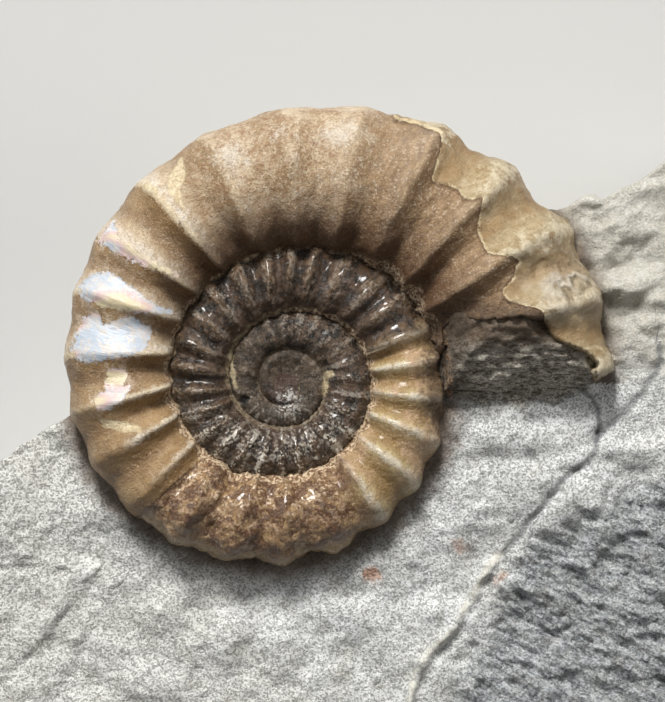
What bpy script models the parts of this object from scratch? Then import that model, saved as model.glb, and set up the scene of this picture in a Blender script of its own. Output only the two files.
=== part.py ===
"""A coiled fossil ammonite on its piece of grey limestone, at real size.

The shell is one solid. Its surface follows a spiral: each whorl is a rounded band that starts
at the seam on the whorl before it and ends at the seam under the whorl after it, and the last
whorl also goes round its outer edge to the other side. Ribs cross the whorls. The limestone is
one solid too: a broken block with a flat base, hollowed to take the lower half of the shell.
Grey mud stone fills the broken mouth of the shell and slopes down to the block.

Angles round the coil are in degrees, clockwise from +X seen from above, and grow towards the
mouth of the shell. Places on the block are in millimetres from the middle of the coil.
"""

import math

import bmesh
import bpy
import numpy as np

MM = 0.001

# Where the coil sits over the middle of the block's base
COIL_X_MM = -2.26
COIL_Y_MM = 4.13
COIL_Z_MM = 14.5

# The shell's outer edge: its radius at each eighth of a turn, from the first whorl to the mouth
FIRST_WHORL_ANGLE = -1080
RADIUS_STEP = 45
OUTER_RADII_MM = (
    0.75, 0.87, 1.0, 1.15, 1.3, 1.6, 1.85, 2.05,
    2.15, 2.18, 2.2, 2.35, 2.75, 3.2, 3.7, 4.2,
    4.45, 4.5, 4.65, 5.2, 5.8, 6.35, 7.0, 7.9,
    8.25, 8.35, 8.7, 9.65, 10.7, 11.95, 13.7, 15.6, 16.4,
)
WHORLS = 4
MOUTH_ANGLE = 362.0

# The cross-section of a whorl, an ellipse cut by the seam
WIDTH_TO_HEIGHT = 0.96
SEAM_ALONG_HEIGHT = 0.9
SEAM_TO_OUTER_RADIUS = 0.96
LOWEST_BEND = 0.21
SEAM_SHARE = 1 - math.acos(SEAM_ALONG_HEIGHT) / (math.pi - LOWEST_BEND)

# Ribs: where the crests of the last whorl meet its outer edge, and the even spacing before it
RIB_CRESTS = (
    5, 21, 37, 54, 72, 91, 108, 127, 142, 157, 173, 188,
    204, 219, 235, 252, 270, 286, 301, 316.5, 331, 344, 357, 371,
)
INNER_RIB_SPACING = 14.0
INNER_RIBS = 60
RIB_SWEEP = 7.0
RIB_HEIGHT_RATIO = 0.055
RIB_SHARPNESS = 1.6

# A rib starts just outside the inner seam, is full by this share of the way across, and from
# the shoulder outwards it gets lower by this much
RIB_START = 0.16
SHOULDER_SHARE = 0.62
RIB_FADE = 0.45

# Facets: columns round each turn, and rows across each whorl from the outside in
SHELL_COLUMNS = 110
POCKET_COLUMNS = 72
TOP_ROWS = (8, 4, 2, 1)
UNDERSIDE_ROWS = (4, 2, 1, 1)
EDGE_ROWS = 2

# The hollow in the block follows the shell without its ribs, this far outside it, and passes
# over the narrow grooves at the seams
POCKET_CLEARANCE_MM = 0.62
SEAM_FILLING = 3.0
POCKET_MOUTH_ANGLE = 365.0

# The mud stone in the broken mouth: its outline, its slope and the bottom of the break
MUD_OUTLINE_MM = (
    (8.75, -2.6), (8.45, 0.2), (8.3, 2.2), (9.4, 3.2), (11.0, 3.95), (12.6, 3.5),
    (13.25, 2.2), (15.2, 1.45), (15.3, 0.4), (14.8, -1.0), (14.6, -2.6),
)
MUD_FLOOR_MM = -2.0
MUD_FOOT_MM = (-2.6, -1.0)
MUD_CREST_MM = (3.4, 3.55)
MUD_GAP_MM = 0.3
BREAK_TOP_MM = 6.0

# The block: its four sides from above, going round clockwise from the left tip
BLOCK_TOP_EDGE_MM = (
    (-21.7, -10.7), (-19.9, -7.5), (-17.2, -5.3), (-14.2, -3.6), (-12.4, -2.6), (-10.7, -1.5),
    (-8.9, 0.6), (-7.6, 3.7), (-5.2, 6.7), (-1.7, 8.7), (2.3, 9.7), (6.8, 9.9), (10.8, 9.0),
    (13.6, 8.6), (14.6, 9.25), (16.1, 9.4), (17.3, 10.25), (19.1, 11.0), (21.4, 12.1), (24.1, 12.3),
)
BLOCK_RIGHT_EDGE_MM = (
    (24.1, 12.3), (25.8, 10.2), (26.2, 6.2), (25.3, 1.8), (26.1, -2.8), (25.0, -7.2),
    (25.6, -11.2), (24.1, -15.8), (21.6, -19.2),
)
BLOCK_BOTTOM_EDGE_MM = (
    (-16.7, -18.0), (-12.7, -20.2), (-8.2, -20.7), (-3.2, -22.1), (2.3, -21.3), (7.3, -22.0),
    (12.8, -20.8), (17.8, -21.2), (21.6, -19.2),
)
BLOCK_LEFT_EDGE_MM = ((-16.7, -18.0), (-20.3, -15.2), (-21.7, -10.7))
BLOCK_CELLS_ALONG = 30
BLOCK_CELLS_ACROSS = 20
BLOCK_MIDDLE_MM = (2.0, -5.5)

# Levels of the block's broken top, from the coil's middle plane. It rises below the mouth, and
# each wave on it has a height, a steepness along X and along Y, and a start
TOP_LEVEL_MM = -1.25
TOP_RISE_TO_RIGHT = 0.05
TOP_WAVES = ((0.16, 0.42, -0.31, 0.6), (0.12, 0.23, 0.55, 2.1), (0.08, 0.95, 0.5, 0.0))
RISE_MM = (10.5, -3.0)
RISE_SPREAD_MM = 4.0
RISE_HEIGHT_MM = 0.75
EDGE_DROP_MM = 0.7
EDGE_WIDTH_MM = 1.1

# The crack that crosses the block from the mouth to the lower edge
CRACK_MM = (
    (15.3, -0.8), (15.9, -2.0), (15.2, -3.7), (13.6, -5.2), (11.3, -7.8), (10.0, -9.9),
    (7.9, -13.2), (6.8, -15.0), (6.0, -22.5),
)
CRACK_DEPTH_MM = 0.35
CRACK_WIDTH_MM = 0.7
STEP_BELOW_CRACK_MM = 0.45
STEP_WIDTH_MM = 2.0

# The broken sides: how far down each ledge is, how wide the block is there, and the size and
# number of the waves round it
SIDE_LEDGES = ((0.14, 1.012), (0.4, 0.982), (0.72, 0.97), (1.0, 0.945))
SIDE_WAVE = 0.016
SIDE_WAVES = 9


def between_points(points, samples):
    """Points at even steps along a line of straight runs."""
    line = np.array(points, float)
    steps = np.hypot(*np.diff(line, axis=0).T)
    along = np.concatenate([[0.0], np.cumsum(steps)]) / steps.sum()
    wanted = np.linspace(0.0, 1.0, samples)
    return np.stack([np.interp(wanted, along, line[:, k]) for k in (0, 1)], axis=1)


def outer_radius(angle):
    """Radius of the shell's outer edge: a cubic through the logarithms of the listed radii. It
    halves with each turn before the first whorl and carries on evenly after the last one."""
    logs = np.log(OUTER_RADII_MM)
    place = (angle - FIRST_WHORL_ANGLE) / RADIUS_STEP
    if place < 0:
        return OUTER_RADII_MM[0] * 2 ** (place * RADIUS_STEP / 360)
    k = int(min(math.floor(place), len(logs) - 2))
    f = place - k
    before = logs[max(k - 1, 0)]
    after = logs[min(k + 2, len(logs) - 1)]
    rise_in = (logs[k + 1] - before) / 2
    rise_out = (after - logs[k]) / 2
    blend = f * f * (3 - 2 * f)
    tangent_in = f * (1 - f) ** 2
    tangent_out = f * f * (f - 1)
    log_radius = logs[k] * (1 - blend) + logs[k + 1] * blend
    return math.exp(log_radius + rise_in * tangent_in + rise_out * tangent_out)


def rib_crests():
    """Angles of every crest, the evenly spaced inner ones first."""
    inner = [RIB_CRESTS[0] - INNER_RIB_SPACING * k for k in range(INNER_RIBS, 0, -1)]
    return np.array(inner + list(RIB_CRESTS), float)


CRESTS = rib_crests()


def rib_relief(angle, across):
    """Height of the ribs from 0 between them to 1 on a crest. They lean back towards the seam."""
    swept = angle - RIB_SWEEP * (1 - across) ** 1.5
    phase = float(np.interp(swept, CRESTS, np.arange(len(CRESTS))))
    wave = (1 + math.cos(2 * math.pi * phase)) / 2
    rise = min(1.0, across / RIB_START)
    fade = 1 - RIB_FADE * max(0.0, (across - SHOULDER_SHARE) / (1 - SHOULDER_SHARE))
    return wave**RIB_SHARPNESS * rise * fade


def whorl_size(angle):
    """Radius of the outer edge and of the seam, and the half thickness of the whorl there."""
    outer = outer_radius(angle)
    inner = seam_radius(angle - 360)
    return outer, inner, WIDTH_TO_HEIGHT * (outer - inner) / 2


def seam_radius(angle):
    """Where the next whorl starts, a little inside the outer edge."""
    outer = outer_radius(angle)
    inner = outer_radius(angle - 360) * SEAM_TO_OUTER_RADIUS
    return outer - (outer - inner) / 2 * (1 - SEAM_ALONG_HEIGHT)


def section_point(angle, share, clearance, ribbed):
    """Radius and height on the whorl's ellipse. The share is 0 at the inner seam and 1 at the
    outer edge; the height is above the coil's middle plane."""
    outer, inner, thickness = whorl_size(angle)
    half_height = (outer - inner) / (1 + math.cos(LOWEST_BEND))
    bend = LOWEST_BEND + share * (math.pi - LOWEST_BEND)
    growth = clearance
    if ribbed:
        growth += RIB_HEIGHT_RATIO * (outer - inner) * rib_relief(angle, share)
    radius = outer - half_height - (half_height + growth) * math.cos(bend)
    return radius, (thickness + growth) * math.sin(bend)


def at(angle, radius, height):
    """A point on the shell, in metres."""
    turned = math.radians(-angle)
    x = COIL_X_MM + radius * math.cos(turned)
    y = COIL_Y_MM + radius * math.sin(turned)
    return x * MM, y * MM, (COIL_Z_MM + height) * MM


class ShellSide:
    """The seams and bands of one side of the shell, above or below its middle plane."""

    def __init__(self, bm, up, rows, columns, mouth, clearance, ribbed):
        self.bm = bm
        self.up = up
        self.rows = rows
        self.columns = columns
        self.first = mouth - 360 * WHORLS
        self.clearance = clearance
        self.ribbed = ribbed
        self.last = columns * WHORLS
        self.column = {}
        self.build_columns()
        self.build_bands()
        self.close_middle()

    def angle(self, j):
        return self.first + 360 * j / self.columns

    def row_count(self, j):
        """Rows across the whorl that column j lies in."""
        whorl = min(j // self.columns, WHORLS - 1)
        return self.rows[WHORLS - 1 - whorl]

    def point(self, j, share):
        radius, height = section_point(self.angle(j), share, self.clearance, self.ribbed)
        seam = share == 0 or (share == SEAM_SHARE and j <= self.last - self.columns)
        if seam and self.clearance:
            radius, height = section_point(self.angle(j), share, 0.0, False)
            height += SEAM_FILLING * self.clearance
        return at(self.angle(j), radius, self.up * height)

    def build_columns(self):
        """One line of points from seam to seam for each column. The inner end is the point that
        the column one turn back ends on."""
        for j in range(self.last + 1):
            rows = self.row_count(j)
            shares = [SEAM_SHARE * i / rows for i in range(rows + 1)]
            if j < self.columns:
                line = [self.bm.verts.new(self.point(j, shares[0]))]
            else:
                line = [self.column[j - self.columns][-1]]
            line += [self.bm.verts.new(self.point(j, share)) for share in shares[1:]]
            self.column[j] = line

    def face(self, corners):
        self.bm.faces.new(corners if self.up > 0 else corners[::-1])

    def build_bands(self):
        """Quads between columns. Where a whorl has twice the rows of the one before, its first
        column meets the last one of that whorl with three triangles to each old row."""
        for j in range(self.last):
            here, ahead = self.column[j], self.column[j + 1]
            if len(here) == len(ahead):
                for i in range(len(here) - 1):
                    self.face([here[i], here[i + 1], ahead[i + 1], ahead[i]])
                continue
            for i in range(len(here) - 1):
                self.face([here[i], ahead[2 * i + 1], ahead[2 * i]])
                self.face([here[i], here[i + 1], ahead[2 * i + 1]])
                self.face([here[i + 1], ahead[2 * i + 2], ahead[2 * i + 1]])

    def close_middle(self):
        """A fan over the first turn's inner seam, level with it."""
        pole = self.bm.verts.new(at(0, 0, self.column[0][0].co.z / MM - COIL_Z_MM))
        ring = [self.column[j][0] for j in range(self.columns)] + self.column[0][::-1]
        for k, corner in enumerate(ring[:-1]):
            self.face([pole, corner, ring[k + 1]])


def outer_band(bm, top, underside):
    """The outer edge of the last whorl, from the upper seam line round to the lower one."""
    first = top.last - top.columns
    lines = []
    for j in range(first, top.last + 1):
        line = [top.column[j][-1]] if j > first else [top.column[top.last][0]]
        for k in range(1, 2 * EDGE_ROWS):
            share = SEAM_SHARE + (1 - SEAM_SHARE) * min(k, 2 * EDGE_ROWS - k) / EDGE_ROWS
            side = top if k <= EDGE_ROWS else underside
            line.append(bm.verts.new(side.point(j, share)))
        line.append(underside.column[j][-1] if j > first else underside.column[top.last][0])
        lines.append(line)
    for here, ahead in zip(lines, lines[1:]):
        for i in range(len(here) - 1):
            bm.faces.new([here[i], here[i + 1], ahead[i + 1], ahead[i]])
    mouth = top.column[top.last] + lines[-1][1:-1] + underside.column[top.last][::-1]
    mouth += lines[0][1:-1][::-1]
    middle = bm.verts.new((lines[0][EDGE_ROWS].co + lines[-1][EDGE_ROWS].co) / 2)
    for k, corner in enumerate(mouth):
        bm.faces.new([middle, corner, mouth[(k + 1) % len(mouth)]])


def coil(name, columns, mouth, clearance, ribbed):
    """The whole shell as a closed solid."""
    bm = bmesh.new()
    top = ShellSide(bm, 1, TOP_ROWS, columns, mouth, clearance, ribbed)
    underside = ShellSide(bm, -1, UNDERSIDE_ROWS, columns, mouth, clearance, ribbed)
    outer_band(bm, top, underside)
    return finish(bm, name)


def finish(bm, name):
    """Turns the working mesh into an object with outward triangles."""
    bmesh.ops.triangulate(bm, faces=bm.faces)
    bmesh.ops.recalc_face_normals(bm, faces=bm.faces)
    mesh = bpy.data.meshes.new(name)
    bm.to_mesh(mesh)
    bm.free()
    obj = bpy.data.objects.new(name, mesh)
    bpy.context.scene.collection.objects.link(obj)
    return obj


def mud_slope(y):
    """Height of the mud stone's surface above the middle plane, rising towards the shell."""
    return float(np.interp(y, (MUD_FOOT_MM[0], MUD_CREST_MM[0]), (MUD_FOOT_MM[1], MUD_CREST_MM[1])))


def prism(name, outline, floor, top_of):
    """An upright prism with a flat floor. top_of gives the height over each corner."""
    bm = bmesh.new()
    low = [bm.verts.new(place(x, y, floor)) for x, y in outline]
    high = [bm.verts.new(place(x, y, top_of(y))) for x, y in outline]
    count = len(outline)
    bm.faces.new(low)
    bm.faces.new(high)
    for k in range(count):
        n = (k + 1) % count
        bm.faces.new([low[k], low[n], high[n], high[k]])
    return finish(bm, name)


def place(x, y, z):
    """A point given in millimetres from the middle of the coil, in metres."""
    return (COIL_X_MM + x) * MM, (COIL_Y_MM + y) * MM, (COIL_Z_MM + z) * MM


def grown(outline, distance):
    """The outline pushed outwards by a distance at every corner."""
    points = np.array(outline, float)
    before = points - np.roll(points, 1, axis=0)
    after = np.roll(points, -1, axis=0) - points
    turn = (before[:, 0] * after[:, 1] - before[:, 1] * after[:, 0]).sum()
    sign = 1.0 if turn > 0 else -1.0
    result = []
    for p, d0, d1 in zip(points, before, after):
        n0 = sign * np.array([d0[1], -d0[0]]) / np.hypot(*d0)
        n1 = sign * np.array([d1[1], -d1[0]]) / np.hypot(*d1)
        result.append(p + (n0 + n1) * distance / (1 + n0 @ n1))
    return result


def distance_to_crack(x, y):
    """Distance from the crack's line, and 1 on its lower right side or 0 on the other."""
    best, side = 1e9, 0.0
    for (ax, ay), (bx, by) in zip(CRACK_MM, CRACK_MM[1:]):
        dx, dy = bx - ax, by - ay
        t = ((x - ax) * dx + (y - ay) * dy) / (dx * dx + dy * dy)
        t = min(max(t, 0.0), 1.0)
        gap = math.hypot(x - ax - t * dx, y - ay - t * dy)
        if gap < best:
            best = gap
            side = 1.0 if dx * (y - ay) - dy * (x - ax) > 0 else 0.0
    return best, side


def block_top(x, y):
    """Height of the block's broken top above the coil's middle plane."""
    waves = sum(size * math.sin(a * x + b * y + start) for size, a, b, start in TOP_WAVES)
    reach = ((x - RISE_MM[0]) ** 2 + (y - RISE_MM[1]) ** 2) / RISE_SPREAD_MM**2
    height = TOP_LEVEL_MM + TOP_RISE_TO_RIGHT * x + waves + RISE_HEIGHT_MM * math.exp(-reach)
    gap, below = distance_to_crack(x, y)
    height -= CRACK_DEPTH_MM * math.exp(-((gap / CRACK_WIDTH_MM) ** 2))
    height -= STEP_BELOW_CRACK_MM * below * min(1.0, gap / STEP_WIDTH_MM)
    return height


def block_grid():
    """Points over the block's top, spread evenly between its four edges."""
    top = between_points(BLOCK_TOP_EDGE_MM, BLOCK_CELLS_ALONG + 1)
    bottom = between_points(BLOCK_BOTTOM_EDGE_MM, BLOCK_CELLS_ALONG + 1)
    left = between_points(BLOCK_LEFT_EDGE_MM, BLOCK_CELLS_ACROSS + 1)
    right = between_points(BLOCK_RIGHT_EDGE_MM[::-1], BLOCK_CELLS_ACROSS + 1)
    u = np.linspace(0, 1, BLOCK_CELLS_ALONG + 1)[:, None, None]
    v = np.linspace(0, 1, BLOCK_CELLS_ACROSS + 1)[None, :, None]
    edges = (1 - v) * bottom[:, None] + v * top[:, None] + (1 - u) * left[None] + u * right[None]
    corners = (1 - u) * (1 - v) * bottom[0] + u * (1 - v) * bottom[-1]
    corners = corners + (1 - u) * v * top[0] + u * v * top[-1]
    return edges - corners


def block_body():
    """The block before it is hollowed: its broken top, its ledged sides and its flat base."""
    bm = bmesh.new()
    grid = block_grid()
    along, across = grid.shape[0] - 1, grid.shape[1] - 1
    rim = [(i, 0) for i in range(along)] + [(along, k) for k in range(across)]
    rim += [(i, across) for i in range(along, 0, -1)] + [(0, k) for k in range(across, 0, -1)]
    rim_points = np.array([grid[i, k] for i, k in rim])
    verts = {}
    for i in range(along + 1):
        for k in range(across + 1):
            x, y = grid[i, k]
            to_rim = np.hypot(*(rim_points - grid[i, k]).T).min()
            height = block_top(x, y) - EDGE_DROP_MM * math.exp(-to_rim / EDGE_WIDTH_MM)
            verts[i, k] = bm.verts.new(place(x, y, height))
    for i in range(along):
        for k in range(across):
            bm.faces.new([verts[i, k], verts[i + 1, k], verts[i + 1, k + 1], verts[i, k + 1]])
    above = [verts[place_on_rim] for place_on_rim in rim]
    tops = [vert.co.z / MM for vert in above]
    for depth, width in SIDE_LEDGES:
        below = []
        for n, (x, y) in enumerate(rim_points):
            turn = math.atan2(y - BLOCK_MIDDLE_MM[1], x - BLOCK_MIDDLE_MM[0])
            spread = width + SIDE_WAVE * math.sin(SIDE_WAVES * (turn + depth))
            px = BLOCK_MIDDLE_MM[0] + spread * (x - BLOCK_MIDDLE_MM[0])
            py = BLOCK_MIDDLE_MM[1] + spread * (y - BLOCK_MIDDLE_MM[1])
            below.append(bm.verts.new(place(px, py, tops[n] * (1 - depth) - COIL_Z_MM)))
        for n in range(len(rim)):
            m = (n + 1) % len(rim)
            bm.faces.new([above[n], below[n], below[m], above[m]])
        above = below
    bm.faces.new(above)
    return finish(bm, "limestone_block")


def combine(target, operation, other):
    """Joins or cuts with an exact Boolean that stays on the object, and hides the helper."""
    modifier = target.modifiers.new(operation.lower() + "_" + other.name, "BOOLEAN")
    modifier.operation = operation
    modifier.solver = "EXACT"
    modifier.object = other
    other.hide_render = True
    other.display_type = "WIRE"


def stone(name, colour, roughness):
    """A plain mineral finish."""
    material = bpy.data.materials.new(name)
    material.use_nodes = True
    shader = material.node_tree.nodes["Principled BSDF"]
    shader.inputs["Base Color"].default_value = (*colour, 1.0)
    shader.inputs["Roughness"].default_value = roughness
    shader.inputs["Metallic"].default_value = 0.0
    return material


def build():
    for old in list(bpy.data.objects):
        bpy.data.objects.remove(old)

    shell = coil("ammonite_shell", SHELL_COLUMNS, MOUTH_ANGLE, 0.0, True)
    breakage = grown(MUD_OUTLINE_MM, MUD_GAP_MM)
    lost_shell = prism("lost_shell", breakage, MUD_FLOOR_MM - MUD_GAP_MM, lambda y: BREAK_TOP_MM)
    combine(shell, "DIFFERENCE", lost_shell)
    shell.data.materials.append(stone("honey_calcite", (0.36, 0.25, 0.13), 0.3))

    block = block_body()
    pocket = coil("shell_pocket", POCKET_COLUMNS, POCKET_MOUTH_ANGLE, POCKET_CLEARANCE_MM, False)
    mud = prism("mud_stone", MUD_OUTLINE_MM, MUD_FLOOR_MM, mud_slope)
    combine(block, "DIFFERENCE", pocket)
    combine(block, "UNION", mud)
    block.data.materials.append(stone("grey_limestone", (0.42, 0.43, 0.42), 0.85))


build()
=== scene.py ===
"""A small ribbed ammonite, half bedded in a broken block of grey limestone, seen from above."""

import math

import bpy
import numpy as np
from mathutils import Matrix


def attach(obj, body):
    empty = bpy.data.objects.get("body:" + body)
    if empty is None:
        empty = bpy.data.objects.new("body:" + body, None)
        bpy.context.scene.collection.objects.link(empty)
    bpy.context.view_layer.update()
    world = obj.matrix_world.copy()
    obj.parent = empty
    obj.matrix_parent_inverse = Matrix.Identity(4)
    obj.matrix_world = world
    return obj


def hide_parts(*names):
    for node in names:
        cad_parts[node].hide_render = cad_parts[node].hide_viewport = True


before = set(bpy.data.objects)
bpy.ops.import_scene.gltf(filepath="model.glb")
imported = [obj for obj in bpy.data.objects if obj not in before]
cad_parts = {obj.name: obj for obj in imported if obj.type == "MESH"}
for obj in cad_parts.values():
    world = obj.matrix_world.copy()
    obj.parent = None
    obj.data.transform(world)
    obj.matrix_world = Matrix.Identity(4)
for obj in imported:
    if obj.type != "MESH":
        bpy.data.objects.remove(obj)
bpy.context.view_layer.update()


# Camera and studio
#
# The camera looks straight down on the fossil from 24 cm over the coil's middle plane, and its
# frame is 35.1 mm tall there. One window-like softbox shines from the top of the picture.

coil = np.array([-2.26, 4.13, 14.5])
camera_height = 240.0
camera_spot = (0.165, 5.83)
frame_height = 35.1
sensor = 36.0

lens = bpy.data.cameras.new("camera")
lens.sensor_width = sensor
lens.lens = sensor * camera_height / frame_height
lens.clip_start = 0.01
lens.clip_end = 10
camera = bpy.data.objects.new("camera", lens)
camera.location = (camera_spot[0] / 1000, camera_spot[1] / 1000, (coil[2] + camera_height) / 1000)
bpy.context.scene.collection.objects.link(camera)
bpy.context.scene.camera = camera


def softbox(name, place_mm, size_mm, watts, colour):
    """A square area light at place_mm that faces the fossil."""
    light = bpy.data.lights.new(name, "AREA")
    light.size = size_mm / 1000
    light.energy = watts
    light.color = colour
    lamp = bpy.data.objects.new(name, light)
    lamp.location = [c / 1000 for c in place_mm]
    away = lamp.location.copy()
    away.z -= coil[2] / 1000
    lamp.rotation_euler = away.to_track_quat("Z", "Y").to_euler()
    bpy.context.scene.collection.objects.link(lamp)


softbox("window", (-70, 340, 320), 120, 2.75, (1.0, 0.985, 0.96))
softbox("left_fill", (-380, 120, 300), 200, 0.36, (0.95, 0.97, 1.0))
softbox("right_fill", (340, 60, 340), 200, 0.26, (1.0, 0.98, 0.96))

sky = bpy.data.worlds.new("studio")
sky.use_nodes = True
sky.node_tree.nodes["Background"].inputs["Color"].default_value = (0.85, 0.84, 0.84, 1)
sky.node_tree.nodes["Background"].inputs["Strength"].default_value = 0.13
bpy.context.scene.world = sky
bpy.context.scene.view_settings.view_transform = "Standard"

floor_mesh = bpy.data.meshes.new("floor")
floor_mesh.from_pydata([(-1, -1, 0), (1, -1, 0), (1, 1, 0), (-1, 1, 0)], [], [(0, 1, 2, 3)])
floor = bpy.data.objects.new("floor", floor_mesh)
floor_paint = bpy.data.materials.new("floor_paint")
floor_paint.use_nodes = True
paint = floor_paint.node_tree.nodes["Principled BSDF"]
paint.inputs["Base Color"].default_value = (0.58, 0.58, 0.57, 1)
paint.inputs["Roughness"].default_value = 0.9
floor_mesh.materials.append(floor_paint)
bpy.context.scene.collection.objects.link(floor)


# The limestone block
#
# A hand-sized flake of fine grey limestone, split along a rough bedding face on top and broken
# all round. Mud of the same stone fills the shell's broken mouth and slopes down from it. A
# crack crosses the face from the mouth, and goes on as a thin raised calcite vein.


class Value:
    """A number or a colour that varies over a surface. Arithmetic on it adds Math nodes."""

    def __init__(self, finish, socket):
        self.finish = finish
        self.socket = socket

    def __add__(self, other):
        return self.finish.maths("ADD", self, other)

    __radd__ = __add__

    def __mul__(self, other):
        return self.finish.maths("MULTIPLY", self, other)

    __rmul__ = __mul__

    def __sub__(self, other):
        return self.finish.maths("SUBTRACT", self, other)

    def __rsub__(self, other):
        return self.finish.maths("SUBTRACT", other, self)

    def __truediv__(self, other):
        return self.finish.maths("DIVIDE", self, other)

    def __abs__(self):
        return self.finish.maths("ABSOLUTE", self)

    def step(self, inner_flank_shade, high):
        """0 at low, 1 at high, and a smooth rise between. High may be less than low."""
        settings = {"interpolation_type": "SMOOTHSTEP"}
        return self.finish.node("ShaderNodeMapRange", settings, {0: self, 1: inner_flank_shade, 2: high})

    def tinted(self, *tints):
        """This colour with others mixed in, one after the other. Each is the share that it
        takes, then its red, green and blue."""
        colour = self
        for share, *tint in tints:
            colour = self.finish.mix(share, colour, tint)
        return colour


class Finish:
    """The node tree of one material, with its Principled shader."""

    def __init__(self, name):
        self.material = bpy.data.materials.new(name)
        self.material.use_nodes = True
        self.tree = self.material.node_tree
        self.shader = self.tree.nodes["Principled BSDF"]

    def node(self, kind, settings, sockets, output=0):
        """Adds a node, sets its settings, then its sockets' values or links."""
        made = self.tree.nodes.new(kind)
        for name, setting in settings.items():
            if name == "stops":
                ramp = made.color_ramp
                while len(ramp.elements) < len(setting):
                    ramp.elements.new(0.5)
                for stop, (where, colour) in zip(ramp.elements, setting):
                    stop.position = where
                    stop.color = colour
            else:
                setattr(made, name, setting)
        for key, value in sockets.items():
            self.feed(made.inputs[key], value)
        return Value(self, made.outputs[output])

    def feed(self, socket, value):
        if isinstance(value, Value):
            self.tree.links.new(value.socket, socket)
        else:
            socket.default_value = value

    def shade(self, inputs):
        for name, value in inputs.items():
            self.feed(self.shader.inputs[name], value)

    def maths(self, operation, *values):
        return self.node("ShaderNodeMath", {"operation": operation}, dict(enumerate(values)))

    def mix(self, share, first, second, blend="MIX"):
        """Mixes two colours, each a Value or red, green and blue as a picture shows them."""
        first, second = (c if isinstance(c, Value) else srgb(*c) for c in (first, second))
        settings = {"data_type": "RGBA", "blend_type": blend, "clamp_factor": True}
        return self.node("ShaderNodeMix", settings, {0: share, 6: first, 7: second}, 2)

    def attribute(self, name):
        return self.node("ShaderNodeAttribute", {"attribute_name": name}, {}, 2)

    def scaled(self, place, by):
        """A place, each of its coordinates multiplied by a number of its own."""
        return self.node("ShaderNodeVectorMath", {"operation": "MULTIPLY"}, {0: place, 1: by})

    def part(self, place, axis):
        return self.node("ShaderNodeSeparateXYZ", {}, {0: place}, axis)

    def distance(self, place, middle):
        settings = {"operation": "DISTANCE"}
        return self.node("ShaderNodeVectorMath", settings, {0: place, 1: middle}, 1)

    def millimetres(self, stretch=(1, 1, 1)):
        """The place on the object in millimetres, stretched along its axes."""
        place = self.node("ShaderNodeTexCoord", {}, {}, 3)
        return self.scaled(place, [1000 * s for s in stretch])

    def noise(self, place, per_mm, detail, roughness):
        """Cloudy noise from 0 to 1 whose lumps are about 1 / per_mm wide."""
        sockets = {"Vector": place, "Scale": per_mm, "Detail": detail, "Roughness": roughness}
        return self.node("ShaderNodeTexNoise", {}, sockets)

    def grains(self, place, per_mm):
        """A random number from 0 to 1 for each grain of a packed mass of crystals."""
        sockets = {"Vector": place, "Scale": per_mm}
        return self.part(self.node("ShaderNodeTexVoronoi", {"feature": "F1"}, sockets, 1), 0)

    def bump(self, height, depth_mm, strength, below=None):
        sockets = {"Strength": strength, "Distance": depth_mm / 1000, "Height": height}
        if below is not None:
            sockets["Normal"] = below
        return self.node("ShaderNodeBump", {}, sockets)


def srgb(red, green, blue):
    """A colour as a picture shows it, from 0 to 255, as the shader wants it."""
    shares = [c / 255 for c in (red, green, blue)]
    return [c / 12.92 if c < 0.04045 else ((c + 0.055) / 1.055) ** 2.4 for c in shares] + [1.0]


def lumps(x, y, size, seed):
    """Random heights from -1 to 1 on a square lattice of the given size, blended smoothly
    between its corners."""
    table = np.random.default_rng(seed).uniform(-1, 1, (97, 97))
    u, v = x / size, y / size
    i, j = np.floor(u).astype(int), np.floor(v).astype(int)
    f, g = u - i, v - j
    f, g = f * f * (3 - 2 * f), g * g * (3 - 2 * g)
    painted_shadow_by_shell = table[i % 97, j % 97] * (1 - f) + table[(i + 1) % 97, j % 97] * f
    far = table[i % 97, (j + 1) % 97] * (1 - f) + table[(i + 1) % 97, (j + 1) % 97] * f
    return painted_shadow_by_shell * (1 - g) + far * g


def rough(x, y, size, octaves, seed):
    """Lumps on lumps, each octave half the size and a little over half the height."""
    return sum(0.56**k * lumps(x, y, size / 2**k, seed + k) for k in range(octaves))


def ease(value, inner_flank_shade, high):
    """0 below low, 1 above high, and a smooth rise between."""
    share = np.clip((value - inner_flank_shade) / (high - inner_flank_shade), 0, 1)
    return share * share * (3 - 2 * share)


def mound(distance, width):
    """A smooth hump, 1 in its middle."""
    return np.exp(-((distance / width) ** 2))


def from_line(x, y, line):
    """Distance from each point to an open line, positive on its left side."""
    best = np.full(np.shape(x), 1e9)
    for (ax, ay), (bx, by) in zip(line, line[1:]):
        dx, dy = bx - ax, by - ay
        share = np.clip(((x - ax) * dx + (y - ay) * dy) / (dx * dx + dy * dy), 0, 1)
        gap = np.hypot(x - ax - share * dx, y - ay - share * dy)
        gap = np.where(dx * (y - ay) - dy * (x - ax) > 0, gap, -gap)
        best = np.where(np.abs(gap) < np.abs(best), gap, best)
    return best


def inside(x, y, outline):
    """Distance from each point to a closed outline, positive inside it. A point is inside when
    a ray from it crosses the outline an odd number of times."""
    odd = np.zeros(np.shape(x), bool)
    ring = list(outline) + [outline[0]]
    for (ax, ay), (bx, by) in zip(ring, ring[1:]):
        if ay != by:
            odd ^= ((ay > y) != (by > y)) & (x < (bx - ax) * (y - ay) / (by - ay) + ax)
    gap = np.abs(from_line(x, y, ring))
    return np.where(odd, gap, -gap)


def along(points, wanted):
    """Points at the wanted shares of the length of a line of straight runs."""
    line = np.array(points, float)
    lengths = np.hypot(*np.diff(line, axis=0).T)
    share = np.concatenate([[0], np.cumsum(lengths)]) / lengths.sum()
    return np.stack([np.interp(wanted, share, line[:, k]) for k in (0, 1)], axis=1)


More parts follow.
